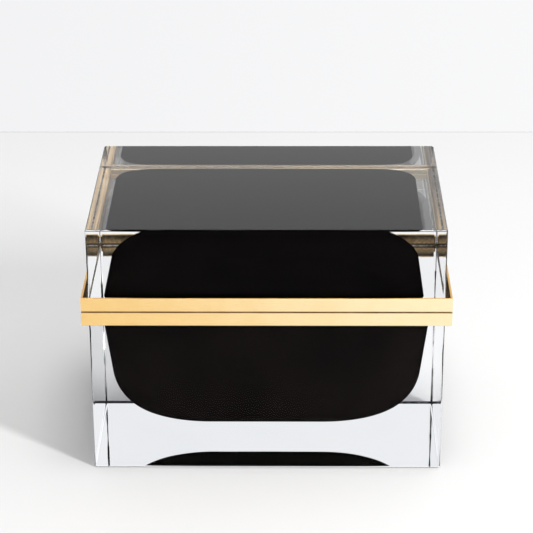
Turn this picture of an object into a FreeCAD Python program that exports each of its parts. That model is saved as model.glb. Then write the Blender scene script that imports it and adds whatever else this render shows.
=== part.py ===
import FreeCAD, Part

import math
import os

import Sketcher

# Hinged glass box: two blocks of thick clear glass, each blown over a dark glass lining, each held in
# a brass frame of mitred angle bar, and joined along the back by a barrel hinge with a stop.
# X is the width, with +X to the right as seen from the front. The front faces -Y and +Z is up.
# The origin is the middle of the face that the box stands on. Lengths are in millimetres.

SIZES = {
    "glass_width": (160.0, "width of both glass blocks"),
    "glass_depth": (103.0, "depth of both glass blocks, front to back"),
    "base_glass_height": (78.8, "height of the base block"),
    "lid_glass_height": (36.2, "height of the lid block"),
    "upright_round": (2.0, "radius of the blocks' ground upright edges"),
    "arris": (0.7, "width of the flat ground along the blocks' other edges"),
    "lining_wall": (3.0, "thickness of the dark glass at the sides"),
    "lining_floor": (3.0, "thickness of the dark glass at its closed end"),
    "base_side_wall": (3.6, "clear glass left and right of the base lining, at the rim"),
    "base_front_wall": (4.5, "clear glass before and behind the base lining, at the rim"),
    "base_floor": (19.7, "clear glass below the base lining"),
    "base_lean": (7.4, "angle at which the base lining's walls draw in below the rim, in degrees"),
    "base_round_across": (16.2, "how far in the base lining's rounded foot reaches left and right"),
    "base_round_deep": (6.0, "how far in the base lining's rounded foot reaches front and back"),
    "base_round_up": (20.0, "how far up the base lining's rounded foot reaches"),
    "base_corner": (28.0, "radius of the base lining's upright corners"),
    "base_shift": (-0.5, "how far the base lining sits to the right of the middle"),
    "base_foot_forward": (4.8, "how much nearer the front the base lining's flat end sits than its rim"),
    "lid_side_wall": (7.8, "clear glass left and right of the lid lining, at the rim"),
    "lid_front_wall": (3.5, "clear glass before and behind the lid lining, at the rim"),
    "lid_floor": (18.5, "clear glass above the lid lining"),
    "lid_lean": (30.5, "angle at which the lid lining's walls draw in, in degrees"),
    "lid_round_across": (25.0, "how far in the lid lining's rounded shoulder reaches left and right"),
    "lid_round_deep": (4.0, "how far in the lid lining's rounded shoulder reaches front and back"),
    "lid_round_up": (15.0, "how far the lid lining's rounded shoulder reaches down"),
    "lid_corner": (12.0, "radius of the lid lining's upright corners"),
    "lid_shift": (-1.4, "how far the lid lining sits to the right of the middle"),
    "frame_wall": (1.2, "thickness of the frame bars' upright leg"),
    "frame_gap": (1.8, "space between the upright leg and the glass"),
    "frame_leg": (6.6, "height of the upright leg"),
    "frame_flange": (2.4, "thickness of the level leg that the glass beds on"),
    "frame_lap": (3.2, "how far the level leg reaches over the glass"),
    "frame_edge": (0.3, "width of the flat filed along the bars' outer edges"),
    "closing_gap": (0.2, "space between the two frames when the lid is down"),
    "cement_height": (1.2, "height of the cement bead between glass and frame"),
    "knuckle_radius": (2.2, "outer radius of the hinge knuckles"),
    "knuckle_length": (13.8, "length of one knuckle"),
    "knuckle_gap": (0.2, "space between neighbouring knuckles"),
    "knuckles_on_base": (3, "knuckles on the base leaf, one more than on the lid leaf"),
    "hinge_offset": (0.3, "space between the knuckles and the frames' back faces"),
    "leaf_thickness": (0.9, "thickness of both hinge leaves"),
    "leaf_height": (3.4, "height of a leaf's plate on its bar"),
    "web_overlap": (0.5, "how far the webs below the knuckles run down into the plate"),
    "pin_radius": (1.0, "radius of the hinge pin"),
    "pin_clearance": (0.04, "space all round between pin and knuckles"),
    "pin_head_radius": (1.6, "radius of the pin's peened heads"),
    "pin_head_length": (0.8, "length of each peened head"),
    "stop_thickness": (0.9, "thickness of the stop tabs on the lid leaf"),
    "stop_angle": (102.0, "opening of the lid at which the stop tabs meet the base leaf, in degrees"),
    "stop_clearance": (0.1, "space left between stop tabs and base leaf at that opening"),
    "stop_root": (0.3, "how far outside the bore the stop tabs start"),
}

# Places worked out from the sizes above, as formulas that the pieces share.
HINGE_BEHIND = "(sizes.knuckle_radius + sizes.hinge_offset)"
FRAME_HALF_X = "(sizes.glass_width / 2 + sizes.frame_gap + sizes.frame_wall)"
FRAME_HALF_Y = "(sizes.glass_depth / 2 + sizes.frame_gap + sizes.frame_wall)"
BASE_TOP = "(sizes.base_glass_height + sizes.frame_flange)"
PARTING = f"({BASE_TOP} + sizes.closing_gap / 2)"
TOTAL = f"({BASE_TOP} + sizes.closing_gap + sizes.frame_flange + sizes.lid_glass_height)"
PITCH = "(sizes.knuckle_length + sizes.knuckle_gap)"
HINGE_LENGTH = f"((2 * sizes.knuckles_on_base - 1) * {PITCH} - sizes.knuckle_gap)"
BAR_REACH = "(sizes.frame_wall + sizes.frame_gap + sizes.frame_lap)"
BORE = "(sizes.pin_radius + sizes.pin_clearance)"

doc = FreeCAD.newDocument("hinged_glass_box")
sheet = doc.addObject("Spreadsheet::Sheet", "sizes")
for row, (alias, (value, meaning)) in enumerate(SIZES.items(), start=1):
    sheet.set(f"A{row}", alias)
    sheet.set(f"B{row}", str(value))
    sheet.set(f"C{row}", meaning)
    sheet.setAlias(f"B{row}", alias)
doc.recompute()

# A lining's curved foot is a quarter of an ellipse in profile. It starts at the waist, where it leaves the
# straight wall, and ends at the flat end. These are the steps that it is lofted in.
FOOT_STEPS = {"base": 7, "lid": 6}

# How far the linings' flat ends sit forward of their rims.
FOOT_FORWARD = {"base": "sizes.base_foot_forward", "lid": "0"}

# How far the mitre cuts reach past the bars, so that they cut them clean through.
CUT_MARGIN = 1.0

# A face counts as level if its height varies by less than this.
LEVEL_TOLERANCE = 1e-6


def new_body(label):
    """A body that becomes one sub-part, named after its file."""
    body = doc.addObject("PartDesign::Body", label)
    body.Label = label
    return body


def add_sketch(body, name, plane, level=None):
    """A sketch on one of the body's own origin planes, moved along the plane's normal by level."""
    sketch = body.newObject("Sketcher::SketchObject", name)
    origin_plane = next(f for f in body.Origin.OriginFeatures if f.Role == plane)
    sketch.AttachmentSupport = (origin_plane, "")
    sketch.MapMode = "FlatFace"
    if level is not None:
        sketch.setExpression("AttachmentOffset.Base.z", level)
    return sketch


def bind(sketch, constraint, name, formula):
    """Adds a dimension to a sketch and ties it to a formula on the sheet."""
    index = sketch.addConstraint(constraint)
    sketch.renameConstraint(index, name)
    sketch.setExpression(f"Constraints.{name}", formula)


def value_of(formula):
    """The present value of a formula on the sheet, for a sketch's first placing."""
    return float(sheet.evalExpression(formula))


def outline(sketch, corners, prefix="p"):
    """A closed outline of straight edges. Each corner is a pair of formulas for its place."""
    points = [FreeCAD.Vector(value_of(u), value_of(v), 0) for u, v in corners]
    first = sketch.GeometryCount
    count = len(points)
    for i in range(count):
        sketch.addGeometry(Part.LineSegment(points[i], points[(i + 1) % count]), False)
    for i in range(count):
        following = first + (i + 1) % count
        sketch.addConstraint(Sketcher.Constraint("Coincident", first + i, 2, following, 1))
    for i, (u, v) in enumerate(corners):
        across = Sketcher.Constraint("DistanceX", -1, 1, first + i, 1, points[i].x)
        bind(sketch, across, f"{prefix}{i}u", u)
        up = Sketcher.Constraint("DistanceY", -1, 1, first + i, 1, points[i].y)
        bind(sketch, up, f"{prefix}{i}v", v)


def rounded_rectangle(sketch, half_x, half_y, corner, right="0", forward="0", prefix="r"):
    """A rectangle with equal rounded corners, whose middle lies to the right of the origin and in front."""
    hx, hy, r, cx, cy = (value_of(f) for f in (half_x, half_y, corner, right, f"-{forward}"))
    first = sketch.GeometryCount
    vector = FreeCAD.Vector
    # Bottom, right, top and left edge.
    ends = [
        (vector(cx - hx + r, cy - hy, 0), vector(cx + hx - r, cy - hy, 0)),
        (vector(cx + hx, cy - hy + r, 0), vector(cx + hx, cy + hy - r, 0)),
        (vector(cx + hx - r, cy + hy, 0), vector(cx - hx + r, cy + hy, 0)),
        (vector(cx - hx, cy + hy - r, 0), vector(cx - hx, cy - hy + r, 0)),
    ]
    for start, end in ends:
        sketch.addGeometry(Part.LineSegment(start, end), False)
    # The corner after each edge, starting with the lower right one.
    u_low, u_high, v_low, v_high = cx - hx + r, cx + hx - r, cy - hy + r, cy + hy - r
    for i, (u, v) in enumerate([(u_high, v_low), (u_high, v_high), (u_low, v_high), (u_low, v_low)]):
        circle = Part.Circle(vector(u, v, 0), vector(0, 0, 1), r)
        start = (i - 1) * math.pi / 2
        sketch.addGeometry(Part.ArcOfCircle(circle, start, start + math.pi / 2), False)
    for i in range(4):
        edge, arc, following = first + i, first + 4 + i, first + (i + 1) % 4
        sketch.addConstraint(Sketcher.Constraint("Tangent", edge, 2, arc, 1))
        sketch.addConstraint(Sketcher.Constraint("Tangent", arc, 2, following, 1))
        sketch.addConstraint(Sketcher.Constraint("Horizontal" if i % 2 == 0 else "Vertical", edge))
    for i in range(3):
        sketch.addConstraint(Sketcher.Constraint("Equal", first + 4 + i, first + 5 + i))
    bind(sketch, Sketcher.Constraint("Radius", first + 4, r), f"{prefix}corner", corner)
    to_right = Sketcher.Constraint("DistanceX", -1, 1, first + 1, 1, cx + hx)
    bind(sketch, to_right, f"{prefix}right", f"{half_x} + {right}")
    to_left = Sketcher.Constraint("DistanceX", first + 3, 1, -1, 1, hx - cx)
    bind(sketch, to_left, f"{prefix}left", f"{half_x} - {right}")
    to_back = Sketcher.Constraint("DistanceY", -1, 1, first + 2, 1, hy + cy)
    bind(sketch, to_back, f"{prefix}back", f"{half_y} - {forward}")
    to_front = Sketcher.Constraint("DistanceY", first, 1, -1, 1, hy - cy)
    bind(sketch, to_front, f"{prefix}front", f"{half_y} + {forward}")


def pad(body, sketch, name, length, midplane=False, reverse=False):
    """Extrudes a sketch by a length."""
    feature = body.newObject("PartDesign::Pad", name)
    feature.Profile = sketch
    feature.setExpression("Length", length)
    if midplane:
        feature.SideType = "Symmetric"
    feature.Reversed = reverse
    return feature


def lining_sections(body, block, name, inside):
    """Sketches of the lining's outlines from the rim to the closed end, for its skin or its hollow."""
    height = f"sizes.{block}_glass_height"
    wall, floor = ("sizes.lining_wall", "sizes.lining_floor") if inside else ("0", "0")
    rim_x = f"(sizes.glass_width / 2 - sizes.{block}_side_wall - {wall})"
    rim_y = f"(sizes.glass_depth / 2 - sizes.{block}_front_wall - {wall})"
    corner = f"(sizes.{block}_corner - {wall})"
    across = f"(sizes.{block}_round_across - {wall})"
    deep = f"(sizes.{block}_round_deep - {wall})"
    up = f"(sizes.{block}_round_up - {floor} / 2)"
    straight = f"({height} - sizes.{block}_floor - {floor} - {up})"
    slope = f"tan(sizes.{block}_lean * 1deg)"
    ahead = f"({FOOT_FORWARD[block]} / ({height} - sizes.{block}_floor))"
    # Each station has its depth below the rim and its share of the foot's rounding: the rim, the waist
    # where the rounding starts, and the steps down to the flat end, which has all of it.
    stations = [("0", 0.0)]
    steps = FOOT_STEPS[block]
    for i in range(steps + 1):
        turn = math.pi / 2 * i / steps
        stations.append((f"({straight} + {math.sin(turn):.6f} * {up})", 1 - math.cos(turn)))
    sketches = []
    for i, (depth, rounded) in enumerate(stations):
        half_x = f"({rim_x} - {slope} * {depth} - {rounded:.6f} * {across})"
        half_y = f"({rim_y} - {slope} * {depth} - {rounded:.6f} * {deep})"
        forward = f"({ahead} * {depth})"
        sketch = add_sketch(body, f"{name}_{i}", "XY_Plane", f"{height} - {depth}")
        rounded_rectangle(sketch, half_x, half_y, corner, f"sizes.{block}_shift", forward)
        sketches.append(sketch)
    return sketches


def tub(body, kind, name, block, inside):
    """The lining's skin or hollow, lofted straight from outline to outline, from the rim to the flat end."""
    sketches = lining_sections(body, block, name, inside)
    loft = body.newObject(f"PartDesign::{kind}", name)
    loft.Profile = sketches[0]
    loft.Sections = sketches[1:]
    loft.Ruled = True


def flat_faces(shape):
    """Names of a block's lowest and highest level faces."""
    ends = (shape.BoundBox.ZMin, shape.BoundBox.ZMax)
    names = []
    for i, face in enumerate(shape.Faces, start=1):
        level = face.BoundBox.ZLength < LEVEL_TOLERANCE
        at_end = min(abs(face.BoundBox.ZMin - z) for z in ends) < LEVEL_TOLERANCE
        if level and at_end:
            names.append(f"Face{i}")
    return names


def glass_block(block):
    """Clear glass block with ground edges, open above, moulded round its lining. Its rim is up."""
    body = new_body(f"{block}_block")
    sketch = add_sketch(body, f"{block}_block_outline", "XY_Plane")
    rounded_rectangle(sketch, "sizes.glass_width / 2", "sizes.glass_depth / 2", "sizes.upright_round")
    solid = pad(body, sketch, f"{block}_block_pad", f"sizes.{block}_glass_height")
    doc.recompute()
    ground = body.newObject("PartDesign::Chamfer", f"{block}_block_arris")
    ground.Base = (solid, flat_faces(solid.Shape))
    ground.setExpression("Size", "sizes.arris")
    tub(body, "SubtractiveLoft", f"{block}_seat", block, inside=False)
    return body


def glass_lining(block):
    """Dark glass lining: the tub or dome that fills the block's hollow, with a hollow of its own."""
    body = new_body(f"{block}_lining")
    tub(body, "AdditiveLoft", f"{block}_skin", block, inside=False)
    tub(body, "SubtractiveLoft", f"{block}_hollow", block, inside=True)
    return body


def frame_bar(label, half_length):
    """Brass angle bar with mitred ends. It runs along X, its outer face is y = 0 with the glass at +Y,
    and its level leg's outer face is z = 0 with the upright leg hanging below."""
    body = new_body(label)
    section = add_sketch(body, f"{label}_section", "YZ_Plane")
    edge, wall, leg = "sizes.frame_edge", "sizes.frame_wall", "sizes.frame_leg"
    corners = [
        (edge, "0"),
        (BAR_REACH, "0"),
        (BAR_REACH, "-sizes.frame_flange"),
        (wall, "-sizes.frame_flange"),
        (wall, f"{edge} - {leg}"),
        (f"{wall} - {edge}", f"-{leg}"),
        (edge, f"-{leg}"),
        ("0", f"{edge} - {leg}"),
        ("0", f"-{edge}"),
    ]
    outline(section, corners)
    pad(body, section, f"{label}_pad", f"2 * {half_length}", midplane=True)
    cut = add_sketch(body, f"{label}_mitre", "XY_Plane")
    beyond = f"({BAR_REACH} + {CUT_MARGIN})"
    for side, prefix in ((1, "right"), (-1, "left")):
        triangle = [
            (f"{side} * ({half_length} + {CUT_MARGIN})", f"-{CUT_MARGIN}"),
            (f"{side} * ({half_length} + {CUT_MARGIN})", beyond),
            (f"{side} * ({half_length} - {beyond})", beyond),
        ]
        outline(cut, triangle, prefix)
    pocket = body.newObject("PartDesign::Pocket", f"{label}_mitre_cut")
    pocket.Profile = cut
    pocket.Type = "ThroughAll"
    pocket.SideType = "Symmetric"
    return body


def cement_bead(block):
    """Bead of cement that fills the foot of the space between the block and its frame."""
    body = new_body(f"{block}_cement")
    sketch = add_sketch(body, f"{block}_cement_outline", "XY_Plane", f"sizes.{block}_glass_height")
    half_x = "(sizes.glass_width / 2 + sizes.frame_gap)"
    half_y = "(sizes.glass_depth / 2 + sizes.frame_gap)"
    signs = ((-1, -1), (1, -1), (1, 1), (-1, 1))
    outline(sketch, [(f"{i} * {half_x}", f"{j} * {half_y}") for i, j in signs])
    rounded_rectangle(sketch, "sizes.glass_width / 2", "sizes.glass_depth / 2", "sizes.upright_round")
    pad(body, sketch, f"{block}_cement_pad", "sizes.cement_height", reverse=True)
    return body


def hinge_leaf(label, knuckles, first, stop):
    """Hinge leaf in the hinge's own frame: the pin runs along X through the origin, the bars' back faces
    stand at -Y and the plate hangs below the knuckles. The lid's leaf is the same, turned over."""
    body = new_body(label)
    back = f"-{HINGE_BEHIND}"
    face = f"(sizes.leaf_thickness - {HINGE_BEHIND})"
    top = f"-{HINGE_BEHIND}"
    low = f"({top} - sizes.leaf_height)"
    plate = add_sketch(body, f"{label}_plate_outline", "YZ_Plane")
    outline(plate, [(back, low), (face, low), (face, top), (back, top)])
    pad(body, plate, f"{label}_plate", HINGE_LENGTH, midplane=True)

    start = f"({first} * {PITCH} - {HINGE_LENGTH} / 2)"
    ring = add_sketch(body, f"{label}_knuckle_section", "YZ_Plane", start)
    for name, radius in (("outer", "sizes.knuckle_radius"), ("bore", BORE)):
        circle = Part.Circle(FreeCAD.Vector(0, 0, 0), FreeCAD.Vector(0, 0, 1), value_of(radius))
        index = ring.addGeometry(circle, False)
        ring.addConstraint(Sketcher.Constraint("Coincident", index, 3, -1, 1))
        bind(ring, Sketcher.Constraint("Radius", index, value_of(radius)), name, radius)
    repeated = [pad(body, ring, f"{label}_knuckle", "sizes.knuckle_length")]

    web = add_sketch(body, f"{label}_web_section", "YZ_Plane", start)
    root = f"({top} - sizes.web_overlap)"
    outline(web, [(back, root), (face, root), (face, "0"), (back, "0")])
    repeated.append(pad(body, web, f"{label}_web", "sizes.knuckle_length"))

    if stop:
        # The tab points backwards when the lid is down, and its tip meets the base leaf at the stop angle.
        angle = "(sizes.stop_angle * 1deg)"
        half = "(sizes.stop_thickness / 2)"
        to_leaf = f"({HINGE_BEHIND} - sizes.leaf_thickness - sizes.stop_clearance)"
        reach = f"(({to_leaf} - {half} * sin{angle}) / -cos{angle})"
        inner = f"({BORE} + sizes.stop_root)"
        tab = add_sketch(body, f"{label}_tab_section", "YZ_Plane", start)
        outline(tab, [(inner, f"-{half}"), (reach, f"-{half}"), (reach, half), (inner, half)])
        repeated.append(pad(body, tab, f"{label}_tab", "sizes.knuckle_length"))

    row = body.newObject("PartDesign::LinearPattern", f"{label}_knuckles")
    row.Originals = repeated
    row.Direction = (next(f for f in body.Origin.OriginFeatures if f.Role == "X_Axis"), [""])
    row.setExpression("Length", f"2 * {PITCH} * ({knuckles} - 1)")
    row.setExpression("Occurrences", knuckles)
    body.Tip = row
    return body


def hinge_pin():
    """Pin of the hinge, turned about X, with a peened head against each end knuckle."""
    body = new_body("hinge_pin")
    sketch = add_sketch(body, "hinge_pin_profile", "XY_Plane")
    half = f"({HINGE_LENGTH} / 2)"
    end = f"({half} + sizes.pin_head_length)"
    profile = [
        (f"-{end}", "0"),
        (end, "0"),
        (end, "sizes.pin_radius"),
        (half, "sizes.pin_head_radius"),
        (half, "sizes.pin_radius"),
        (f"-{half}", "sizes.pin_radius"),
        (f"-{half}", "sizes.pin_head_radius"),
        (f"-{end}", "sizes.pin_radius"),
    ]
    outline(sketch, profile)
    solid = body.newObject("PartDesign::Revolution", "hinge_pin_turned")
    solid.Profile = sketch
    solid.ReferenceAxis = (sketch, ["H_Axis"])
    solid.Angle = 360
    return body


def turned(degrees, x=0, y=0, z=0):
    """A turn about the axis with the given direction."""
    return FreeCAD.Rotation(FreeCAD.Vector(x, y, z), degrees)


def place(body, x="0", y="0", z="0", turn=turned(0, z=1)):
    """Puts a body where it belongs: turned first, then moved to the formulas' place."""
    body.Placement = FreeCAD.Placement(FreeCAD.Vector(), turn)
    for letter, formula in zip("xyz", (x, y, z)):
        if formula != "0":
            body.setExpression(f"Placement.Base.{letter}", formula)


UPSIDE_DOWN = turned(180, x=1)
pieces = []

# The base stands as modelled. The lid is built rim upwards like the base, and turned over.
for block in ("base", "lid"):
    for piece in (glass_block(block), glass_lining(block), cement_bead(block)):
        if block == "lid":
            place(piece, z=TOTAL, turn=UPSIDE_DOWN)
        pieces.append(piece)

# Four bars to a frame, each a quarter turn on from the one before: half length and place of the outer face.
QUARTER_TURN = 90
SIDES = {
    "front": (FRAME_HALF_X, "0", f"-{FRAME_HALF_Y}"),
    "right": (FRAME_HALF_Y, FRAME_HALF_X, "0"),
    "back": (FRAME_HALF_X, "0", FRAME_HALF_Y),
    "left": (FRAME_HALF_Y, f"-{FRAME_HALF_X}", "0"),
}
for quarters, (side, (half_length, x, y)) in enumerate(SIDES.items()):
    bar = frame_bar(f"base_frame_{side}", half_length)
    place(bar, x, y, BASE_TOP, turned(quarters * QUARTER_TURN, z=1))
    # The lid's bar is turned over about its own length first, so that its upright leg stands up.
    lid_bar = frame_bar(f"lid_frame_{side}", half_length)
    over = turned((quarters + 2) * QUARTER_TURN, z=1) * UPSIDE_DOWN
    place(lid_bar, x, y, f"{BASE_TOP} + sizes.closing_gap", over)
    pieces += [bar, lid_bar]

hinge_place = {"y": f"{FRAME_HALF_Y} + {HINGE_BEHIND}", "z": PARTING}
base_leaf = hinge_leaf("base_hinge_leaf", "sizes.knuckles_on_base", 0, stop=False)
place(base_leaf, **hinge_place)
lid_leaf = hinge_leaf("lid_hinge_leaf", "(sizes.knuckles_on_base - 1)", 1, stop=True)
place(lid_leaf, **hinge_place, turn=turned(180, y=1))
pin = hinge_pin()
place(pin, **hinge_place)
pieces += [base_leaf, lid_leaf, pin]

doc.recompute()

for item in doc.Objects:
    if {"Invalid", "Error"} & set(item.State):
        raise RuntimeError(f"{item.Label} did not build: {item.State}")
for piece in pieces:
    if piece.Shape.isNull() or not piece.Shape.isValid() or len(piece.Shape.Solids) != 1:
        raise RuntimeError(f"{piece.Label} is not one valid solid")

os.makedirs("parts", exist_ok=True)
for piece in pieces:
    piece.Shape.exportStep(f"parts/{piece.Label}.step")
    box = piece.Shape.BoundBox
    print(f"{piece.Label}: {piece.Shape.Volume / 1000:.2f} cm3, z {box.ZMin:.2f} to {box.ZMax:.2f}")
print(f"hinge pin at y {value_of(hinge_place['y']):.2f}, z {value_of(PARTING):.2f}")
print(f"total height {value_of(TOTAL):.2f}, parting at {value_of(PARTING):.2f}")
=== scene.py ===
# %% [markdown]
# # A hinged glass box
#
# The box is two blocks of thick clear glass. Each was cast over a dark glass lining, cut and
# polished flat outside, and set in a frame of gilt brass angle bar. A hinge joins the frames at
# the back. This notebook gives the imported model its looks: it reads where every piece is, builds
# the glass and the brass finely, and sets up the table, the light and the camera.
#
# Lengths are in metres. X runs to the right, the front faces -Y and Z is up.

import bpy
import numpy as np
from mathutils import Matrix, Vector


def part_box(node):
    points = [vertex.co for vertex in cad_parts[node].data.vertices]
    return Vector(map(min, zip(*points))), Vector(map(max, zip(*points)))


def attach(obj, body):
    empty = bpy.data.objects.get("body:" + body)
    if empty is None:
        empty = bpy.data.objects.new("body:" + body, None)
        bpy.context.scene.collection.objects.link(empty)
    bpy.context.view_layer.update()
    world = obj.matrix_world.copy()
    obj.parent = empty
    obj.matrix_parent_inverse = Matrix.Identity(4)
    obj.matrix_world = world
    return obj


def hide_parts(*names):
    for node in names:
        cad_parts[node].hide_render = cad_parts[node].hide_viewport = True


MM = 0.001

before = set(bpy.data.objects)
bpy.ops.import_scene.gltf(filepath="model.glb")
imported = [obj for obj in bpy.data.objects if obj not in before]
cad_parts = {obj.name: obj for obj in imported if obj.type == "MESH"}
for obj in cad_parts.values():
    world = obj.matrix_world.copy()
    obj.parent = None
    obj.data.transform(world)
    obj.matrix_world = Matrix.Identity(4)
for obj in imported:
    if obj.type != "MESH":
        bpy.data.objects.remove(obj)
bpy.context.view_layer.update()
print("pieces in the model:", ", ".join(sorted(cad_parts)))

# %% [markdown]
# ## Formulas as shader nodes
#
# Glass and metal are never one even tone, so each material has a few formulas in it. Written
# with nodes alone they are hard to read. This class wraps one output of a node, so that a
# formula reads like arithmetic, and each step becomes a Math node.

# %% A node output that works like a number
# A Mix node has sockets of the same names for each kind of data, so those for colours go by number.
MIX_FACTOR = 0
MIX_FIRST = 6
MIX_SECOND = 7
MIX_RESULT = 2


class Wire:
    """An output of a shader node. Arithmetic on it makes Math nodes; node() makes any other."""

    def __init__(self, tree, socket):
        self.tree = tree
        self.socket = socket

    def node(self, kind, settings, sockets, output=0):
        """A new node: its settings first, then its inputs by name or number."""
        made = self.tree.nodes.new(kind)
        for name, value in settings.items():
            setattr(made, name, value)
        for name, value in sockets.items():
            connect(self.tree, value, made.inputs[name])
        return Wire(self.tree, made.outputs[output])

    def math(self, operation, *values):
        """One Math node with these values as its inputs."""
        return self.node("ShaderNodeMath", {"operation": operation}, dict(enumerate(values)))

    def __add__(self, other):
        return self.math("ADD", self, other)

    def __radd__(self, other):
        return self.math("ADD", other, self)

    def __sub__(self, other):
        return self.math("SUBTRACT", self, other)

    def __rsub__(self, other):
        return self.math("SUBTRACT", other, self)

    def __mul__(self, other):
        return self.math("MULTIPLY", self, other)

    def __rmul__(self, other):
        return self.math("MULTIPLY", other, self)

    def part(self, letter):
        """X, Y or Z of a vector."""
        return self.node("ShaderNodeSeparateXYZ", {}, {"Vector": self}, "XYZ".index(letter))

    def stretched(self, x, y, z):
        """The vector times three numbers."""
        return self.node("ShaderNodeVectorMath", {"operation": "MULTIPLY"}, {0: self, 1: (x, y, z)})

    def noise(self, size, detail=2.0, roughness=0.5):
        """Smooth noise from 0 to 1 whose lumps are about size metres across."""
        settings = {"noise_dimensions": "3D"}
        sockets = {"Vector": self, "Scale": 1 / size, "Detail": detail, "Roughness": roughness}
        return self.node("ShaderNodeTexNoise", settings, sockets)

    def spread(self, low, high, to_low=0.0, to_high=1.0):
        """Maps low..high to to_low..to_high smoothly, and holds the ends."""
        sockets = {"Value": self, "From Min": low, "From Max": high, "To Min": to_low, "To Max": to_high}
        return self.node("ShaderNodeMapRange", {"interpolation_type": "SMOOTHSTEP"}, sockets)

    def between(self, colour_0, colour_1):
        """The first colour where this is 0, the second where it is 1."""
        sockets = {MIX_FACTOR: self, MIX_FIRST: colour_0, MIX_SECOND: colour_1}
        return self.node("ShaderNodeMix", {"data_type": "RGBA"}, sockets, MIX_RESULT)

    def plus_colour(self, colour):
        """This colour with another added to it."""
        sockets = {MIX_FACTOR: 1.0, MIX_FIRST: self, MIX_SECOND: colour}
        settings = {"data_type": "RGBA", "blend_type": "ADD"}
        return self.node("ShaderNodeMix", settings, sockets, MIX_RESULT)


def connect(tree, value, socket):
    """Links a wire to a socket, or sets the socket to a plain value."""
    if isinstance(value, Wire):
        tree.links.new(value.socket, socket)
    elif isinstance(value, tuple) and len(value) == 3 and socket.type == "RGBA":
        socket.default_value = (*value, 1.0)
    else:
        socket.default_value = value


def start_material(name):
    """A new material with its main shader, and the place on the piece as a wire."""
    made = bpy.data.materials.new(name)
    made.use_nodes = True
    tree = made.node_tree
    shader = tree.nodes["Principled BSDF"]
    coordinates = tree.nodes.new("ShaderNodeTexCoord")
    return made, shader, Wire(tree, coordinates.outputs["Object"])


def finish_material(made, shader, **sockets):
    """Sets the main shader's sockets. A name's underscores stand for spaces."""
    for name, value in sockets.items():
        connect(made.node_tree, value, shader.inputs[name.replace("_", " ")])
    return made


def bumps(height, depth, smooth_normal=None):
    """A normal for a surface whose height varies by depth metres as height goes from 0 to 1."""
    sockets = {"Strength": 1.0, "Distance": depth, "Height": height}
    if smooth_normal is not None:
        sockets["Normal"] = smooth_normal
    return height.node("ShaderNodeBump", {}, sockets)


print("formula nodes ready")

# %% [markdown]
# ## Surfaces from rings
#
# Every glass piece here is a stack of rings. A ring is a rounded rectangle, and the next ring is
# a little higher, wider or rounder. A glass cutter works in the same order: flats first, then the
# four upright corners, then the edges.
#
# A narrow row of points beside every rounding keeps the flats flat to the eye, which matters for
# glass: what shows through a face bends with the face.

# %% Rings, and a closed surface through them
ARC_STEPS = 16
SUPPORT = 0.12 * MM
CREASE_DEGREES = 40


def ring_points(half_x, half_y, radius, height, middle_x=0.0, middle_y=0.0):
    """Rounded rectangles as an array (rows, points, 3), one row for each height.

    Corner k has its centre at (sx (half_x - r), sy (half_y - r)) from the middle, and its points
    are centre + r (cos t, sin t) with t over the k-th quarter turn. radius is (rows, 4), one for
    each corner. A point before and one after each arc lie on the straight sides, SUPPORT from it.
    """
    quarter = np.linspace(0, np.pi / 2, ARC_STEPS + 1)
    rows = []
    for k, (sx, sy) in enumerate(((1, 1), (-1, 1), (-1, -1), (1, -1))):
        turn = quarter + k * np.pi / 2
        r = radius[:, k, None]
        x = sx * (half_x[:, None] - r) + r * np.cos(turn)
        y = sy * (half_y[:, None] - r) + r * np.sin(turn)
        along = np.array([[np.sin(turn[0]), -np.cos(turn[0])], [-np.sin(turn[-1]), np.cos(turn[-1])]])
        x = np.hstack([x[:, :1] + SUPPORT * along[0, 0], x, x[:, -1:] + SUPPORT * along[1, 0]])
        y = np.hstack([y[:, :1] + SUPPORT * along[0, 1], y, y[:, -1:] + SUPPORT * along[1, 1]])
        rows.append(np.stack([x, y], axis=-1))
    flat = np.concatenate(rows, axis=1)
    middle = np.stack([middle_x + 0 * height, middle_y + 0 * height], axis=-1)[:, None, :]
    z = np.broadcast_to(height[:, None, None], (*flat.shape[:2], 1))
    return np.concatenate([flat + middle, z], axis=-1)


def closed_surface(name, points):
    """A closed mesh through rings (rows, points, 3), with the first and last ring filled in.

    Quad (i, j) joins ring i's points j and j + 1 to those of ring i + 1, so rings that run
    anticlockwise and climb on the outside give faces that look outwards.
    """
    rows, columns = points.shape[:2]
    index = np.arange(rows * columns).reshape(rows, columns)
    onward = np.roll(index, -1, axis=1)
    quads = np.stack([index[:-1], onward[:-1], onward[1:], index[1:]], axis=-1).reshape(-1, 4)
    ends = [index[0, ::-1].tolist(), index[-1].tolist()]
    mesh = bpy.data.meshes.new(name)
    mesh.from_pydata(points.reshape(-1, 3).tolist(), [], quads.tolist() + ends)
    mesh.shade_smooth()
    mesh.set_sharp_from_angle(angle=np.radians(CREASE_DEGREES))
    piece = bpy.data.objects.new(name, mesh)
    bpy.context.scene.collection.objects.link(piece)
    return piece


def put_in_place(piece, body, node, slot, *materials):
    """Ties a piece to its body, hides the plain node it stands for, and gives it its materials."""
    for each in materials:
        piece.data.materials.append(each)
    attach(piece, body)
    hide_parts(node)


def turned_over(points, total):
    """The lid is built rim up, like the base, and turned over: (x, y, z) to (x, -y, total - z)."""
    return points * np.array([1, -1, -1]) + np.array([0, 0, total])


print("a ring has", 4 * (ARC_STEPS + 3), "points")

# %% [markdown]
# ## The dark lining's form
#
# The gaffer blew the dark glass into a mould, so the linings lean inwards like a pudding basin
# and end in a rounded foot. In profile the foot is a quarter of an ellipse. It also sagged a
# little while hot, and that is why the base lining's floor lies nearer the front than its rim.

# %% Rows of the lining's surface
LINING_WALL = 3.0 * MM
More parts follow.
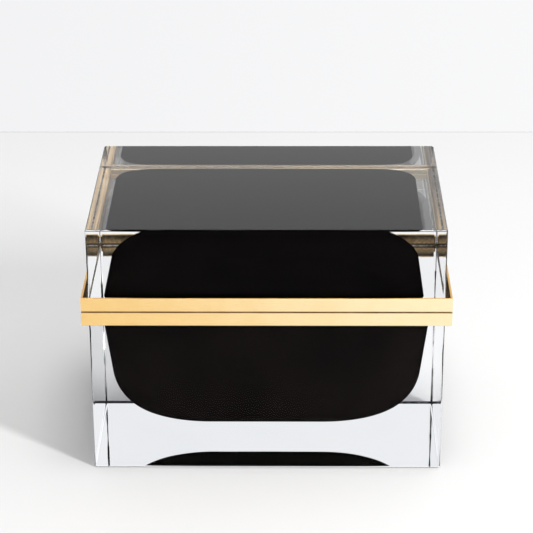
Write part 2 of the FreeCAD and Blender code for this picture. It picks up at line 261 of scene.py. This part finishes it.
# The walls lean by an angle in degrees. The rest is in millimetres: how far the foot draws in
# sideways (across) and from front and back (deep), how high it is (up), the radius of the four
# corners, and how far the closed end lies in front of the rim.
LININGS = {
    "base": {"lean": 7.4, "across": 16.2, "deep": 6.0, "up": 20.0, "corner": 28.0, "forward": 4.8},
    "lid": {"lean": 30.5, "across": 25.0, "deep": 4.0, "up": 15.0, "corner": 12.0, "forward": 0.0},
}
WALL_ROWS = 6
FOOT_ROWS = 26


def lining_rows(block, inward, rim):
    """Rings of a lining's surface from the rim to the closed end, rim up.

    inward is how far inside the outer skin the surface lies. With t from 0 to a quarter turn, the
    foot is at depth straight + up sin t. There it has drawn in from the leaning wall by
    across (1 - cos t) at the sides and deep (1 - cos t) in front and behind. The middle of each
    ring moves to the front in proportion to the depth.
    """
    form = LININGS[block]
    slope = np.tan(np.radians(form["lean"]))
    across, deep = form["across"] * MM, form["deep"] * MM
    up = form["up"] * MM - inward / 2
    low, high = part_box(f"{block}_lining")
    half_x, half_y = (high.x - low.x) / 2, (high.y - low.y) / 2
    full = high.z - low.z
    straight = full - inward - up
    wall = np.linspace(0, 1, WALL_ROWS)
    turn = np.linspace(0, np.pi / 2, FOOT_ROWS)[1:]
    depth = np.concatenate([wall * straight, straight + up * np.sin(turn)])
    rounded = np.concatenate([0 * wall, 1 - np.cos(turn)])
    ring_x = half_x - inward - slope * depth - rounded * (across - inward)
    ring_y = half_y - inward - slope * depth - rounded * (deep - inward)
    radius = np.full((len(depth), 4), form["corner"] * MM - inward)
    middle_y = -form["forward"] * MM * depth / full
    return ring_points(ring_x, ring_y, radius, rim - depth, (high.x + low.x) / 2, middle_y)


for block in LININGS:
    rows = lining_rows(block, 0.0, 0.0)
    wide, deep, tall = np.ptp(rows, axis=(0, 1)) / MM
    print(f"{block} lining: {wide:.1f} x {deep:.1f} mm, {tall:.1f} deep")

# %% [markdown]
# ## Clear glass
#
# The clear glass is lead crystal or a good soda glass. It has a very slight blue tone in the
# thick base. The faces were polished by hand on a felt wheel, so they are smooth and flat to a
# hundredth of a millimetre but not perfectly, and faint streaks (striae) run through the glass.
#
# The specular tint is low because the room is dark on the camera's side: the front shows no
# reflection of it, while the top still mirrors the wall behind.
#
# Two of the edges have a skin of their own. The edge round each rim is matt and beige, wet with
# the cement of the frame. The base's back edge at the sole is matt, and its dark grey is painted
# shade from under the box.

# %% Materials of the clear blocks
CLEAR_GLASS_IOR = 1.508


def clear_glass(name, tone, thick_tone):
    """Clear glass with striae, which change its tone a little and bend its surface less than a hair."""
    made, shader, place = start_material(name)
    striae = place.stretched(1.0, 1.0, 2.5).noise(28 * MM, 1.0)
    return finish_material(
        made,
        shader,
        Base_Color=striae.spread(0.3, 0.7).between(tone, thick_tone),
        Roughness=0.0,
        Normal=bumps(striae, 0.012 * MM),
        Transmission_Weight=1.0,
        IOR=CLEAR_GLASS_IOR,
        Specular_Tint=(0.05, 0.05, 0.05),
    )


def stain_and_shade_edge(name, dark, light, size):
    """A matt, mottled edge of the glass: cement or dirt in its scratches round the rim, painted shade at
    the sole.
    """
    made, shader, place = start_material(name)
    mottle = place.noise(size, 2.0, 0.6)
    colour = mottle.spread(0.35, 0.65).between(dark, light)
    return finish_material(made, shader, Base_Color=colour, Roughness=0.6, Specular_IOR_Level=0.2)


BASE_GLASS = clear_glass("clear_glass_base", (0.972, 0.985, 1.0), (0.955, 0.975, 0.998))
LID_GLASS = clear_glass("clear_glass_lid", (0.99, 0.995, 1.0), (0.982, 0.99, 0.998))
BEDDED_EDGE = stain_and_shade_edge("bedded_edge", (0.10, 0.085, 0.065), (0.52, 0.49, 0.42), 1.3 * MM)
# Painted shade: the dark grey stands in for the shade under the box seen in the sole's back edge.
SOLE_SHADE_EDGE = stain_and_shade_edge("painted_shade_sole_edge", (0.02, 0.02, 0.03), (0.16, 0.16, 0.19), 2.5 * MM)
print("materials of the clear blocks:", BASE_GLASS.name, LID_GLASS.name, BEDDED_EDGE.name, SOLE_SHADE_EDGE.name)

# %% [markdown]
# ## Dark glass
#
# The dark glass is black in the thickness it has here, with a trace of brown. Where it is fused
# to the clear glass it has no shine of its own, because light doesn't reflect where glass meets
# glass. A few grains of kiln dust are caught in that joint and show as pale specks. The inside
# meets air, so it is glossy, with soft ripples from the mould.

# %% Materials of the lining
DARK_GLASS_IOR = 1.52


def fused_face(name, black, brown_black):
    """The skin of the dark glass where it meets the clear glass."""
    made, shader, place = start_material(name)
    drift = place.noise(35 * MM, 2.0)
    black = drift.spread(0.3, 0.7).between(black, brown_black)
    dust = place.noise(1.1 * MM, 0.0).spread(0.80, 0.84)
    specks = dust.between((0, 0, 0), (0.05, 0.046, 0.045))
    together = black.plus_colour(specks)
    return finish_material(made, shader, Base_Color=together, Roughness=0.6, Specular_IOR_Level=0.0)


def open_face():
    """The inside of the dark glass, which meets air."""
    made, shader, place = start_material("dark_glass_open")
    drift = place.noise(30 * MM, 2.0)
    black = drift.spread(0.3, 0.7).between((0.006, 0.005, 0.005), (0.011, 0.009, 0.008))
    return finish_material(
        made,
        shader,
        Base_Color=black,
        Roughness=place.noise(14 * MM, 2.0).spread(0.4, 0.8, 0.03, 0.10),
        Normal=bumps(place.noise(22 * MM, 1.0), 0.15 * MM),
        IOR=DARK_GLASS_IOR,
    )


FUSED_FACES = {
    "base": fused_face("dark_glass_fused_base", (0.0050, 0.0037, 0.0036), (0.0095, 0.0066, 0.0062)),
    "lid": fused_face("dark_glass_fused_lid", (0.0010, 0.0007, 0.0008), (0.0022, 0.0014, 0.0013)),
}
OPEN_FACE = open_face()
print("materials of the linings:", *(each.name for each in FUSED_FACES.values()), OPEN_FACE.name)

# %% [markdown]
# ## The clear blocks
#
# Each block's surface climbs the outside, turns over the rounded edge, crosses the rim and goes
# down into the hollow. There it lies a hair inside the dark glass, so that nothing but glass is
# between the two.
#
# The uprights were rounded by hand against a turning stone. Their radius wanders with the height,
# and that is what draws the wavy dark streaks seen in the corners.

# %% Rows of a block and of its lining
CLEARANCE = 0.02 * MM
RIM_GAP = 0.03 * MM
BURIED = 0.05 * MM
SOLE_ROUND = 0.7 * MM
RIM_ROUND = 0.4 * MM
UPRIGHT_ROUND = 1.0 * MM
LEAST_RADIUS = 0.1 * MM
SIDE_ROWS = 60
EDGE_ROWS = 7


def upright_radius(height, seed):
    """Radius of the four uprights at each height h in mm, as (rows, 4).

    It is 1 + 0.28 sin(h / 6.1 + c) + 0.15 sin(h / 2.9 + 2.3 c) + 0.06 sin(h / 1.3 + c) mm, where c
    is seed for the first corner and 1.7 more for each next one.
    """
    corner = np.arange(4)[None, :] * 1.7 + seed
    h = height[:, None] / MM
    slow, quick = np.sin(h / 6.1 + corner), np.sin(h / 2.9 + 2.3 * corner)
    return UPRIGHT_ROUND + (0.28 * slow + 0.15 * quick + 0.06 * np.sin(h / 1.3 + corner)) * MM


def block_rows(block, seed):
    """Rings of a clear block, rim up: edge of the sole, sides, edge of the rim, rim, hollow.

    With t from 0 to a quarter turn, an edge of radius r draws in by r (1 - sin t) at r (1 - cos t)
    from the flat. The uprights are rounded less where the edge draws in.
    """
    low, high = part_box(f"{block}_block")
    half_x, half_y = high.x - CLEARANCE, high.y - CLEARANCE
    tall = high.z - low.z - RIM_GAP
    turn = np.linspace(0, np.pi / 2, EDGE_ROWS)
    rise, draw = 1 - np.cos(turn), 1 - np.sin(turn)
    sides = np.linspace(SOLE_ROUND + SUPPORT, tall - RIM_ROUND - SUPPORT, SIDE_ROWS)
    heights = np.concatenate([[0.0], SOLE_ROUND * rise, sides, tall - RIM_ROUND * rise[::-1], [tall]])
    sole = np.concatenate([[SOLE_ROUND + SUPPORT], SOLE_ROUND * draw])
    edge = np.concatenate([RIM_ROUND * draw[::-1], [RIM_ROUND + SUPPORT]])
    inset = np.concatenate([sole, 0 * sides, edge])
    radius = np.maximum(upright_radius(heights, seed) - 0.8 * inset[:, None], LEAST_RADIUS)
    outside = ring_points(half_x - inset, half_y - inset, radius, heights)
    hollow = lining_rows(block, BURIED, tall)
    # A ring on the flat rim just outside the hollow keeps the rim's edge crisp.
    lip = hollow[:1] * np.array([1.0 + SUPPORT / half_x, 1.0 + SUPPORT / half_y, 1.0])
    return np.concatenate([outside, lip, hollow])


def tub_rows(block):
    """Rings of a dark lining, rim up: from the closed end up the skin, over the rim, down inside."""
    low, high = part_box(f"{block}_block")
    rim = high.z - low.z
    skin = lining_rows(block, 0.0, rim)[::-1]
    inside = lining_rows(block, LINING_WALL, rim)
    return np.concatenate([skin, inside]), len(skin)


print("a block has", SIDE_ROWS, "rows up its sides and", EDGE_ROWS, "round each edge")

# %% Both blocks and both linings
# Places of the materials in a block's list, and in a lining's.
POLISHED, BEDDED, SOLE_SHADE = 0, 1, 2
FUSED, OPEN = 0, 1
BACK_EDGE_DEPTH = 1.2 * MM


def mark_edges(piece, points):
    """Cement wets the edge round the rim. The sole's edge at the back gets painted shade."""
    rows, columns = points.shape[:2]
    kinds = np.full((rows - 1, columns), POLISHED, dtype=np.int32)
    first_rim_row = 1 + EDGE_ROWS + SIDE_ROWS
    kinds[first_rim_row : first_rim_row + EDGE_ROWS - 1] = BEDDED
    # The sole's edge at the back is painted shade.
    behind = points[0, :, 1] > points[..., 1].max() - BACK_EDGE_DEPTH
    if piece.name.startswith("base"):
        kinds[1:EDGE_ROWS, behind] = SOLE_SHADE
    two_ends = np.full(2, POLISHED, dtype=np.int32)
    piece.data.polygons.foreach_set("material_index", np.concatenate([kinds.ravel(), two_ends]))


TOTAL_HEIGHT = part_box("lid_block")[1].z
for block, glass, seed in (("base", BASE_GLASS, 0.4), ("lid", LID_GLASS, 3.1)):
    clear = block_rows(block, seed)
    dark, skin_rows = tub_rows(block)
    if block == "lid":
        clear, dark = turned_over(clear, TOTAL_HEIGHT), turned_over(dark, TOTAL_HEIGHT)
    piece = closed_surface(f"{block}_clear_glass", clear)
    put_in_place(piece, block, f"{block}_block", "clear_glass", glass, BEDDED_EDGE, SOLE_SHADE_EDGE)
    mark_edges(piece, clear)
    lining = closed_surface(f"{block}_dark_glass", dark)
    put_in_place(lining, block, f"{block}_lining", "dark_glass", FUSED_FACES[block], OPEN_FACE)
    # Faces from the rim inwards are open. The two closed ends come last: the skin's, then the inside's.
    columns = dark.shape[1]
    kinds = np.full(len(lining.data.polygons), FUSED, dtype=np.int32)
    kinds[(skin_rows - 1) * columns : -2] = OPEN
    kinds[-1] = OPEN
    lining.data.polygons.foreach_set("material_index", kinds)
    print(f"{block}: clear {len(piece.data.polygons)} faces, dark {len(kinds)} faces")

# %% [markdown]
# ## Gilt brass bars
#
# Each frame is four lengths of drawn brass angle, mitred, silver soldered and gilt. The upright
# leg stands off the glass and the level leg reaches over the block's rim. Brass drawn through a
# die has fine lines along its length, and its edges are eased.
#
# The gilding is warmer at the left and paler at the right; the paler right is a painted sheen of the
# window on that side. The narrow edge of the upright is a deeper gold, which is painted shade. The
# edge at the closing line is brown, painted shade of the gap between the two frames. The face
# towards the glass is dark brown, painted shade of the narrow channel between bar and glass. On the
# level leg a cement stain lies in streaks, where the glass was slid in.

# %% Materials of the brass
# Each gilding is two tones, which the patina mixes.
WARM_GILDING = (0.94, 0.635, 0.255), (0.91, 0.605, 0.235)
# The pale tones are the gilding with a painted sheen of the window on the right.
GILDING_WITH_PAINTED_SHEEN = (0.97, 0.81, 0.52), (0.95, 0.78, 0.475)
# The deep tones are painted shade on the narrow edge of the upright.
GILDING_IN_PAINTED_SHADE = (0.80, 0.49, 0.17), (0.72, 0.42, 0.13)


def bar_path(place):
    """The place along and around a drawn bar, which bar_surface stores on its points."""
    return place.node("ShaderNodeAttribute", {"attribute_name": "along_bar"}, {}, "Vector")


def gilt_brass(name, left, right, drawn=True):
    """Gilt brass whose tone goes from left to right, the right a painted sheen. A drawn bar has its lines
    along its length.
    """
    made, shader, place = start_material(name)
    path = bar_path(place).stretched(0.02, 1.0, 1.0) if drawn else place.stretched(0.04, 1.0, 1.0)
    lines = path.noise(0.23 * MM, 3.0, 0.6)
    patina = place.noise(11 * MM, 3.0, 0.55)
    warm = patina.spread(0.35, 0.7).between(*left)
    pale = patina.spread(0.35, 0.7).between(*right)
    # Paler to the right: a painted sheen of the window on that side.
    colour = place.part("X").spread(-100 * MM, 100 * MM).between(warm, pale)
    return finish_material(
        made,
        shader,
        Base_Color=colour,
        Metallic=1.0,
        Roughness=lines.spread(0.2, 0.8, 0.24, 0.36) + patina.spread(0.5, 0.8, 0.0, 0.06),
        Normal=bumps(lines, 0.006 * MM, bumps(place.noise(16 * MM, 1.0), 0.05 * MM)),
    )


# The brown film is painted shade on the face towards the glass and on the edge at the closing line, and a
# cement stain on the level leg.
def stain_and_shade_brass(name, dark, light, size, streaked=False):
    """Brass under an uneven brown film, whose patches or streaks are about size across."""
    made, shader, place = start_material(name)
    film = (bar_path(place).stretched(0.02, 1.0, 1.0) if streaked else place).noise(size, 2.0, 0.6)
    return finish_material(
        made,
        shader,
        Base_Color=film.spread(0.35, 0.7).between(dark, light),
        Metallic=0.3,
        Roughness=film.spread(0.3, 0.7, 0.55, 0.4),
        Normal=bumps(film, 0.05 * MM),
    )


BAR_BRASS = gilt_brass("gilt_brass_bars", WARM_GILDING, GILDING_WITH_PAINTED_SHEEN)
# Painted shade: the narrow edge of the upright is a darker gold.
NARROW_EDGE_SHADE_BRASS = gilt_brass("gilt_brass_painted_shade_edges", GILDING_IN_PAINTED_SHADE, GILDING_IN_PAINTED_SHADE)
# Painted shade: the face towards the glass is dark brown, the shade of the channel between bar and glass.
CHANNEL_SHADE_BRASS = stain_and_shade_brass("painted_shade_channel_brass", (0.085, 0.055, 0.030), (0.32, 0.21, 0.10), 3.5 * MM)
LEVEL_BRASS = stain_and_shade_brass("streaked_brass", (0.12, 0.08, 0.045), (0.95, 0.66, 0.33), 2.2 * MM, True)
# Painted shade: the edge at the closing line is brown, the shade in the gap between the frames.
ARRIS_SHADE_BRASS = stain_and_shade_brass("painted_shade_arris", (0.20, 0.105, 0.035), (0.34, 0.20, 0.08), 12 * MM)
SHADE_AND_CEMENT_BRASS = CHANNEL_SHADE_BRASS, LEVEL_BRASS, ARRIS_SHADE_BRASS, NARROW_EDGE_SHADE_BRASS
print("materials of the brass:", BAR_BRASS.name, *(each.name for each in SHADE_AND_CEMENT_BRASS))

# %% Section of a bar
BAR_WALL = 1.2 * MM
BAR_FLANGE = 2.4 * MM
BAR_EDGE = 0.3 * MM
LINE_EDGE = 0.5 * MM
BAR_ARC_POINTS = 5


def angle_section(reach, leg):
    """Closed outline of the bar's section, as points (distance inwards, distance from its flat).

    A corner is rounded by r between unit vectors b and a, towards the corners before and after it:
    p = corner + r (b (1 - sin t) + a (1 - cos t)), with t from 0 to a quarter turn. A support point
    follows on each side.
    """
    corners = [
        (0.0, leg, BAR_EDGE),
        (BAR_WALL, leg, BAR_EDGE),
        (BAR_WALL, BAR_FLANGE, BAR_EDGE),
        (reach, BAR_FLANGE, BAR_EDGE / 2),
        (reach, 0.0, BAR_EDGE / 2),
        (0.0, 0.0, LINE_EDGE),
    ]
    places = np.array([corner[:2] for corner in corners])
    turn = np.linspace(0, np.pi / 2, BAR_ARC_POINTS)[:, None]
    pieces = []
    for i, (*_, size) in enumerate(corners):
        here = places[i]
        before, after = places[i - 1] - here, places[(i + 1) % len(corners)] - here
        before, after = before / np.linalg.norm(before), after / np.linalg.norm(after)
        arc = here + size * (before * (1 - np.sin(turn)) + after * (1 - np.cos(turn)))
        pieces.append(np.vstack([here + before * (size + SUPPORT), arc, here + after * (size + SUPPORT)]))
    return np.vstack(pieces)


print("a section has", 6 * (BAR_ARC_POINTS + 2), "points")

# %% The eight bars
BAR_STATIONS = 24
HAIR = 0.01 * MM
# Places in a bar's list of materials: the gilding, the face towards the glass, the level leg, the
# edge at the closing line, and the narrow edge of the upright.
GILT, BED, LEVEL, ARRIS, NARROW = range(5)


def face_kinds(section, leg):
    """The material of each face between two neighbouring points of a section."""
    inwards, from_flat = section[:, 0], section[:, 1]
    bed = (from_flat > BAR_FLANGE - HAIR) & (inwards > BAR_WALL - HAIR)
    level = bed & (from_flat < BAR_FLANGE + HAIR)
    arris = (from_flat < 0.7 * LINE_EDGE) & (inwards < LINE_EDGE)
    narrow = (from_flat > leg - BAR_EDGE / 2) & (inwards < BAR_WALL)
    kinds = np.full(len(section), GILT, dtype=np.int32)
    for kind, there in ((BED, bed), (LEVEL, level), (ARRIS, arris), (NARROW, narrow)):
        kinds[there & np.roll(there, -1)] = kind
    return kinds


def bar_surface(name, node, drop):
    """A mitred bar in place of a node. Its end at each section point is half its length less the
    point's distance inwards, so the ends are flat and meet the next bar's at 45 degrees. The
    base's bars drop from their flat, and the lid's rise from it."""
    low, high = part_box(node)
    size, middle = high - low, (high + low) / 2
    side = node.rsplit("_", 1)[1]
    lengthwise = 0 if side in ("front", "back") else 1
    half = size[lengthwise] / 2
    reach, leg = size[1 - lengthwise], size.z
    # Rings run the other way round on a bar that rises, so that its faces still look outwards.
    section = angle_section(reach, leg) if drop else angle_section(reach, leg)[::-1]
    inwards, from_flat = section[:, 0], section[:, 1]
    share = np.sin(np.linspace(-np.pi / 2, np.pi / 2, BAR_STATIONS))
    s = share[:, None] * (half - inwards[None, :])
    # Outward direction of each side, and the direction along the bar that keeps the faces outwards.
    out = {"front": (0, -1), "right": (1, 0), "back": (0, 1), "left": (-1, 0)}[side]
    out = np.array(out, float)
    along = np.array([-out[1], out[0]])
    face = middle.xy @ Vector(out) + reach / 2
    flat = (face - inwards)[None, :, None] * out + s[..., None] * along
    z = high.z - from_flat if drop else low.z + from_flat
    points = np.concatenate([flat, np.broadcast_to(z[None, :, None], (*s.shape, 1))], axis=-1)
    piece = closed_surface(name, points)
    # Along the bar, around its section, and a number that differs from side to side.
    around = np.concatenate([[0], np.cumsum(np.linalg.norm(np.diff(section, axis=0), axis=1))])
    around = around if drop else around[-1] - around
    path = np.stack([s, np.broadcast_to(around, s.shape), 0 * s + out[0] + 2 * out[1]], axis=-1)
    lay = piece.data.attributes.new("along_bar", "FLOAT_VECTOR", "POINT")
    lay.data.foreach_set("vector", path.astype(np.float32).ravel())
    kinds = np.full(len(piece.data.polygons), GILT, dtype=np.int32)
    kinds[:-2] = np.tile(face_kinds(section, leg), BAR_STATIONS - 1)
    piece.data.polygons.foreach_set("material_index", kinds)
    return piece


for block, drop in (("base", True), ("lid", False)):
    for side in ("front", "right", "back", "left"):
        node = f"{block}_frame_{side}"
        bar = bar_surface(f"{block}_bar_{side}", node, drop)
        put_in_place(bar, block, node, "gilt_brass", BAR_BRASS, *SHADE_AND_CEMENT_BRASS)
print("eight bars of", len(bar.data.polygons), "faces")

# %% [markdown]
# ## Cement and hinge
#
# The blocks are bedded in brown cement, a mix of resin and whiting, run in warm. The hinge is two
# leaves with rolled knuckles on a pin. These keep the model's own shapes and get materials.

# %% Materials for the pieces that stay as they are
def cement():
    """Dull brown cement with a fine grain."""
    made, shader, place = start_material("bedding_cement")
    grain = place.noise(0.5 * MM, 4.0, 0.6)
    colour = grain.spread(0.3, 0.7).between((0.055, 0.032, 0.016), (0.11, 0.07, 0.036))
    return finish_material(made, shader, Base_Color=colour, Roughness=0.75, Normal=bumps(grain, 0.08 * MM))


HINGE_BRASS = gilt_brass("gilt_brass_hinge", WARM_GILDING, GILDING_WITH_PAINTED_SHEEN, drawn=False)
CEMENT = cement()
for name, each in (
    ("base_cement", CEMENT),
    ("lid_cement", CEMENT),
    ("base_hinge_leaf", HINGE_BRASS),
    ("lid_hinge_leaf", HINGE_BRASS),
    ("hinge_pin", HINGE_BRASS),
):
    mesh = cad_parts[name].data
    mesh.materials.clear()
    mesh.materials.append(each)
print("cement and hinge ready")

# %% [markdown]
# ## The strip behind the lid's back bar
#
# Through the front of the clear lid one sees a brown and golden band that stands higher than the
# bars. On the hinge side a thin brass strip lies on the glass there, inside the bar, and takes the
# load of the hinge. Outside it is gilt. Towards the glass it is golden at its foot, brown with
# cement higher up, and bare along its top.

# %% Form of the strip
STRIP_THICK = 0.5 * MM
STRIP_ABOVE_BAR = 1.6 * MM
STRIP_ABOVE_RIM = 0.6 * MM
STRIP_END = 1.1 * MM
STRIP_EASED = 0.15 * MM
STRIP_STATIONS = 160
GLASS_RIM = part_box("lid_block")[0].z
STRIP_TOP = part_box("lid_frame_back")[1].z + STRIP_ABOVE_BAR


def strip_behind_bar():
    """A closed strip on the glass, its section carried along X.

    At x mm the filed top edge is 0.06 sin(x / 5.3) + 0.04 sin(x / 1.9) mm above STRIP_TOP.
    """
    low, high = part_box("lid_block")
    x = np.linspace(low.x + STRIP_END, high.x - STRIP_END, STRIP_STATIONS)
    top = STRIP_TOP + (0.06 * np.sin(x / MM / 5.3) + 0.04 * np.sin(x / MM / 1.9)) * MM
    foot = 0 * x + GLASS_RIM + STRIP_ABOVE_RIM
    near = 0 * x + high.y + CLEARANCE
    far = near + STRIP_THICK
    section = [
        (far, foot),
        (far, top - STRIP_EASED - SUPPORT),
        (far, top - STRIP_EASED),
        (far - 0.3 * STRIP_EASED, top - 0.3 * STRIP_EASED),
        (far - STRIP_EASED, top),
        (near, top),
        (near, foot),
    ]
    points = np.stack([np.stack([x, y, z], axis=-1) for y, z in section], axis=1)
    return closed_surface("lid_back_strip", points)


strip = strip_behind_bar()
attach(strip, "lid")
print("strip of", len(strip.data.polygons), "faces")

# %% Finish of the strip
BROWN_ABOVE_RIM = 5 * MM
BARE_RIM = 0.45 * MM
LOOKS_TO_GLASS = -0.7


def strip_finish():
    """Brown cement over brass, golden towards the foot, dark higher up, with a bare rim at the top."""
    made, shader, place = start_material("strip_towards_glass")
    mottle = place.noise(1.6 * MM, 3.0, 0.6).spread(0.35, 0.7)
    height = place.part("Z").spread(GLASS_RIM + 0.5 * MM, GLASS_RIM + BROWN_ABOVE_RIM)
    top = place.part("Z").spread(STRIP_TOP - 1.3 * BARE_RIM, STRIP_TOP - 0.8 * BARE_RIM)
    golden = mottle.between((0.50, 0.32, 0.14), (0.92, 0.66, 0.34))
    bare = mottle.between((0.80, 0.62, 0.36), (0.97, 0.84, 0.58))
    brown = mottle.between((0.045, 0.028, 0.015), (0.13, 0.085, 0.042))
    colour = top.between(height.between(golden, brown), bare)
    return finish_material(made, shader, Base_Color=colour, Metallic=0.3, Roughness=0.5)


for each in (HINGE_BRASS, strip_finish()):
    strip.data.materials.append(each)
faces = strip.data.polygons
towards_glass = np.array([face.normal.y < LOOKS_TO_GLASS for face in faces], dtype=np.int32)
faces.foreach_set("material_index", towards_glass)
print(towards_glass.sum(), "of the strip's faces look to the glass")

# %% [markdown]
# ## Table, room and light
#
# The box stands on a white table in front of a white wall. A tall window stands low to the right
# and in front, and draws the sharp edge of the shadow. A soft ceiling light and the white room
# fill it in.

# %% Table
TABLE_DROP = 0.3 * MM
TABLE_BACK = 0.388
TABLE_REACH = 2.5


def table_top():
    """A flat white top, a hair under the box."""
    mesh = bpy.data.meshes.new("table")
    left, right = -TABLE_REACH, TABLE_REACH
    flat = [(left, -TABLE_REACH), (right, -TABLE_REACH), (right, TABLE_BACK), (left, TABLE_BACK)]
    corners = [(x, y, -TABLE_DROP) for x, y in flat]
    mesh.from_pydata(corners, [], [(0, 1, 2, 3)])
    table = bpy.data.objects.new("table", mesh)
    bpy.context.scene.collection.objects.link(table)
    made, shader, place = start_material("white_table")
    clouds = place.noise(120 * MM, 2.0).spread(0.3, 0.7)
    cloudy = clouds.between((0.875, 0.878, 0.885), (0.885, 0.885, 0.888))
    # Painted shade: the table is a little darker along its far edge, a thin line under the wall.
    shade_at_wall = place.part("Y").spread(TABLE_BACK - 4 * MM, TABLE_BACK - 1 * MM)
    tone = shade_at_wall.between(cloudy, (0.80, 0.79, 0.80))
    finish_material(made, shader, Base_Color=tone, Roughness=0.9, Specular_IOR_Level=0.2)
    mesh.materials.append(made)


table_top()
print("table reaches", TABLE_BACK, "m behind the box")

# %% Room
WALL_LEFT = (0.885, 0.885, 0.90)
WALL_RIGHT = (0.945, 0.947, 0.955)
ROOM_FILL = 0.54
ROOM_TO_RIGHT = 0.275
ROOM_TO_BACK = 0.06


def white_room():
    """The wall that the camera and the glass see, and the fill that lights the rest."""
    world = bpy.data.worlds.new("white_room")
    world.use_nodes = True
    bpy.context.scene.world = world
    tree = world.node_tree
    background = tree.nodes["Background"]
    coordinates = tree.nodes.new("ShaderNodeTexCoord")
    direction = Wire(tree, coordinates.outputs["Generated"])
    up = direction.part("Z")
    across = direction.part("X")
    wall = across.spread(-0.25, 0.2).between(WALL_LEFT, WALL_RIGHT)
    # The wall is lighter higher up, where the top of the box mirrors it, and falls off above that.
    level = up.spread(0.0, 0.3, 1.0, 1.25) * up.spread(0.33, 0.42, 1.0, 0.75)
    seen = direction.node("ShaderNodeVectorMath", {"operation": "SCALE"}, {0: wall, "Scale": level})
    path = tree.nodes.new("ShaderNodeLightPath")
    seen_rays = (
        Wire(tree, path.outputs["Is Camera Ray"])
        + Wire(tree, path.outputs["Is Glossy Ray"])
        + Wire(tree, path.outputs["Is Transmission Ray"])
    )
    looked_at = seen_rays.math("MINIMUM", seen_rays, 1.0)
    # The room is lighter on the window's side, and a little lighter towards the wall.
    fill = ROOM_FILL + ROOM_TO_RIGHT * across + ROOM_TO_BACK * direction.part("Y")
    fill_colour = direction.node("ShaderNodeCombineXYZ", {}, {"X": fill, "Y": fill, "Z": fill * 1.01})
    colour = looked_at.between(fill_colour, seen)
    connect(tree, colour, background.inputs["Color"])


white_room()
print("room lit evenly by", ROOM_FILL)

# %% Lamps
WHITE_LIGHT = (1.0, 0.99, 0.975)


def soft_lamp(name, azimuth, elevation, distance, wide, tall, watts):
    """An oval lamp that faces the box. Azimuth counts from +X towards the back, in degrees."""
    turn, rise = np.radians(azimuth), np.radians(elevation)
    source = Vector((np.cos(rise) * np.cos(turn), np.cos(rise) * np.sin(turn), np.sin(rise)))
    lamp = bpy.data.lights.new(name, "AREA")
    lamp.shape = "ELLIPSE"
    lamp.size, lamp.size_y = wide, tall
    lamp.energy = watts
    lamp.color = WHITE_LIGHT
    holder = bpy.data.objects.new(name, lamp)
    bpy.context.scene.collection.objects.link(holder)
    holder.rotation_mode = "QUATERNION"
    holder.location = source * distance
    holder.rotation_quaternion = source.to_track_quat("Z", "Y")
    holder.visible_camera = False


soft_lamp("tall_window", azimuth=-41, elevation=28, distance=1.8, wide=0.2, tall=0.7, watts=21.2)
soft_lamp("ceiling", azimuth=-62, elevation=82, distance=2.36, wide=1.03, tall=0.82, watts=17.6)
bpy.context.scene.view_settings.view_transform = "Standard"
print("lamps:", *(lamp.name for lamp in bpy.data.lights))

# %% [markdown]
# ## Camera
#
# A long lens from the front, 36 cm above the lid and 81 cm in front of the box, looking down at
# about 25 degrees.

# %% Camera
IMAGE_SIDE = 533
FOCAL_PIXELS = 2026.4
PITCH, YAW, ROLL = 0.429, -0.014, -0.005
CAMERA_AT = Vector((11.49, -868.36, 476.17)) * MM


def camera():
    """Turned to the right by YAW, down by PITCH and anticlockwise by ROLL, all in radians."""
    data = bpy.data.cameras.new("camera")
    data.sensor_width = 36.0
    data.lens = FOCAL_PIXELS / IMAGE_SIDE * data.sensor_width
    data.clip_start, data.clip_end = 0.05, 20.0
    made = bpy.data.objects.new("camera", data)
    bpy.context.scene.collection.objects.link(made)
    forward = Vector((np.sin(YAW) * np.cos(PITCH), np.cos(YAW) * np.cos(PITCH), -np.sin(PITCH)))
    right = Vector((np.cos(YAW), -np.sin(YAW), 0.0))
    upward = right.cross(forward)
    right_rolled = right * np.cos(ROLL) + upward * np.sin(ROLL)
    up_rolled = upward * np.cos(ROLL) - right * np.sin(ROLL)
    axes = Matrix((right_rolled, up_rolled, -forward)).transposed()
    made.matrix_world = Matrix.Translation(CAMERA_AT) @ axes.to_4x4()
    bpy.context.scene.camera = made


camera()
print("camera at", *(round(v / MM) for v in CAMERA_AT), "mm")

# %% Corners of a box, rounded to six places
def corners(box):
    return [[round(v, 6) for v in corner] for corner in box]
